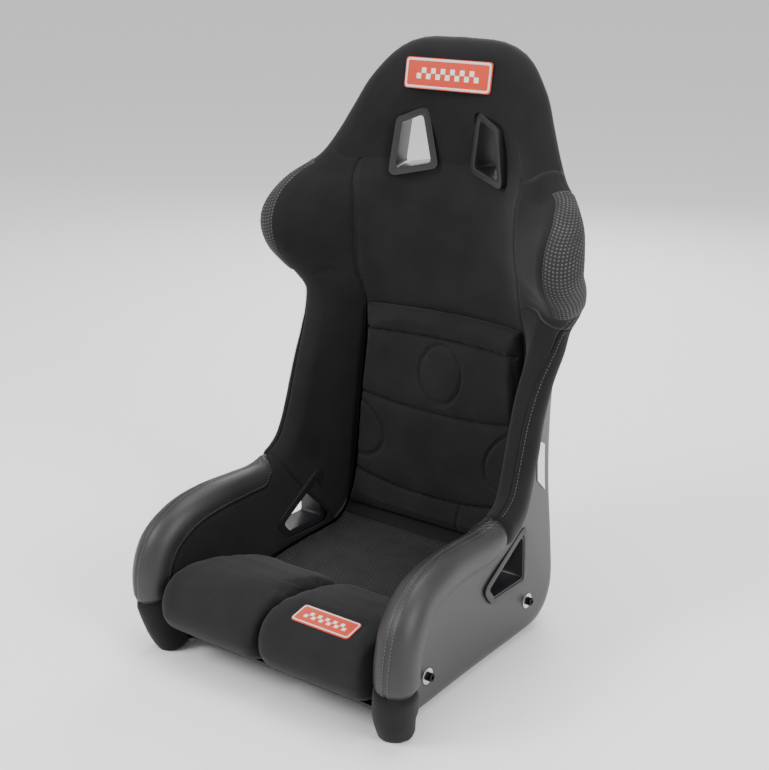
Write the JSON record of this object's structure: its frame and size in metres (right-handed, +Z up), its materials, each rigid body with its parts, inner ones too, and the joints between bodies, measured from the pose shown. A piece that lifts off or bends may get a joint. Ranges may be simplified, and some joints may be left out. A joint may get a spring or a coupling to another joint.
{
  "type": "racing seat",
  "caption": "High-backed fixed racing bucket seat with a composite shell, padded side bolsters, belt windows, a quilted lumbar cushion and split leg cushions.",
  "frame": {"origin": "on the floor under the middle of the seat, halfway across its width and its depth", "axes": "+Z up, the seat faces -Y, and +X is the side of the occupant's left arm"},
  "size_m": [0.596, 0.5728, 0.9327],
  "materials": {
    "shell": "satin dark grey moulded glass-fibre composite",
    "base_textile": "black non-slip ribbed textile",
    "centre_textile": "black brushed knit over foam",
    "velour": "black velour over foam",
    "leatherette": "dark grey grained leatherette, double-stitched along the ridge",
    "bezel_plastic": "satin black moulded plastic",
    "black_steel": "black oxide steel",
    "zinc": "bright zinc-plated steel",
    "patch": "red-orange woven patch with a light stitched border, plain pattern",
    "label": "blank white label stock"
  },
  "bodies": {
    "seat": {"shell": "shell", "seat_base_pad": "base_textile", "back_pad": "centre_textile", "head_pad": "velour", "side_pad_left": "velour", "side_pad_right": "velour", "foot_cover_left": "velour", "foot_cover_right": "velour", "torso_edge_cover_left": "velour", "torso_edge_cover_right": "velour", "shoulder_bolster_left": "velour", "shoulder_bolster_right": "velour", "thigh_wear_cover_left": "leatherette", "thigh_wear_cover_right": "leatherette", "harness_bezel_front_left": "bezel_plastic", "harness_bezel_front_right": "bezel_plastic", "harness_bezel_rear_left": "bezel_plastic", "harness_bezel_rear_right": "bezel_plastic", "lap_bezel_inner_left": "bezel_plastic", "lap_bezel_inner_right": "bezel_plastic", "lap_bezel_outer_left": "bezel_plastic", "lap_bezel_outer_right": "bezel_plastic", "mount_insert_front_left": "black_steel", "mount_insert_front_right": "black_steel", "mount_insert_rear_left": "black_steel", "mount_insert_rear_right": "black_steel", "mount_bolt_front_left": "black_steel", "mount_bolt_front_right": "black_steel", "mount_bolt_rear_left": "black_steel", "mount_bolt_rear_right": "black_steel", "mount_washer_front_left": "zinc", "mount_washer_front_right": "zinc", "mount_washer_rear_left": "zinc", "mount_washer_rear_right": "zinc", "head_badge": "patch", "shell_label": "label"},
    "lumbar_cushion": {"lumbar_cushion": "centre_textile"},
    "leg_cushion_left": {"leg_cushion_left": "centre_textile", "leg_badge": "patch"},
    "leg_cushion_right": {"leg_cushion_right": "centre_textile"}
  },
  "joints": [
    {"name": "lumbar_cushion_off", "type": "slide", "parent": "seat", "child": "lumbar_cushion", "axis": [0, -1, 0], "range_m": [0, 0.05]},
    {"name": "leg_cushion_left_off", "type": "slide", "parent": "seat", "child": "leg_cushion_left", "axis": [0, 0, 1], "range_m": [0, 0.05]},
    {"name": "leg_cushion_right_off", "type": "slide", "parent": "seat", "child": "leg_cushion_right", "axis": [0, 0, 1], "range_m": [0, 0.05]}
  ]
}
